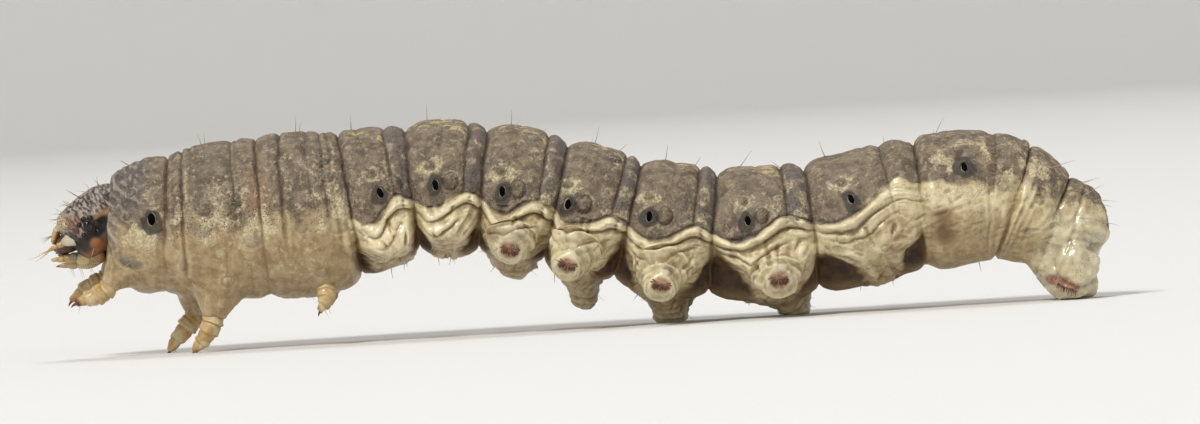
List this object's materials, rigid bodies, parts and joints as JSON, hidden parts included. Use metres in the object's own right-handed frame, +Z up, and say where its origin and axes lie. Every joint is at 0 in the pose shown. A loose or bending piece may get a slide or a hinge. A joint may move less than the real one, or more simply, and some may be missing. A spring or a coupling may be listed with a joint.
{
  "type": "black cutworm larva",
  "caption": "Still, life-size model of a full-grown cutworm larva resting on its feet, with head, body segments, true legs and prolegs.",
  "frame": {"origin": "on the floor under the middle of the model's bounding box", "axes": "+X from the head to the tail, +Y to the animal's right side, +Z up"},
  "size_m": [0.042, 0.0066, 0.0086],
  "materials": {
    "body_skin": "soft grainy grey-brown skin above, cream and slightly see-through below",
    "foot_skin": "soft moist cream skin",
    "head_capsule": "hard, finely wrinkled brown horn with a satin gloss",
    "amber_horn": "amber horn, glossy, darker at the tips",
    "jaw_horn": "dark red-brown horn",
    "eye_lens": "black, glassy lenses"
  },
  "bodies": {
    "root": {"head": "head_capsule", "stemmata_left": "eye_lens", "stemmata_right": "eye_lens", "mandible_left": "jaw_horn", "mandible_right": "jaw_horn", "antenna_left": "amber_horn", "antenna_right": "amber_horn", "lower_mouthparts": "amber_horn", "thorax_1": "body_skin", "thorax_2": "body_skin", "thorax_3": "body_skin", "leg_1_left": "amber_horn", "leg_1_right": "amber_horn", "leg_2_left": "amber_horn", "leg_2_right": "amber_horn", "leg_3_left": "amber_horn", "leg_3_right": "amber_horn", "abdomen_1": "body_skin", "abdomen_2": "body_skin", "abdomen_3": "body_skin", "abdomen_4": "body_skin", "abdomen_5": "body_skin", "abdomen_6": "body_skin", "abdomen_7": "body_skin", "abdomen_8": "body_skin", "abdomen_9": "body_skin", "abdomen_10": "body_skin", "proleg_3_left": "foot_skin", "proleg_3_right": "foot_skin", "proleg_4_left": "foot_skin", "proleg_4_right": "foot_skin", "proleg_5_left": "foot_skin", "proleg_5_right": "foot_skin", "proleg_6_left": "foot_skin", "proleg_6_right": "foot_skin", "proleg_10_left": "foot_skin", "proleg_10_right": "foot_skin"}
  },
  "joints": []
}
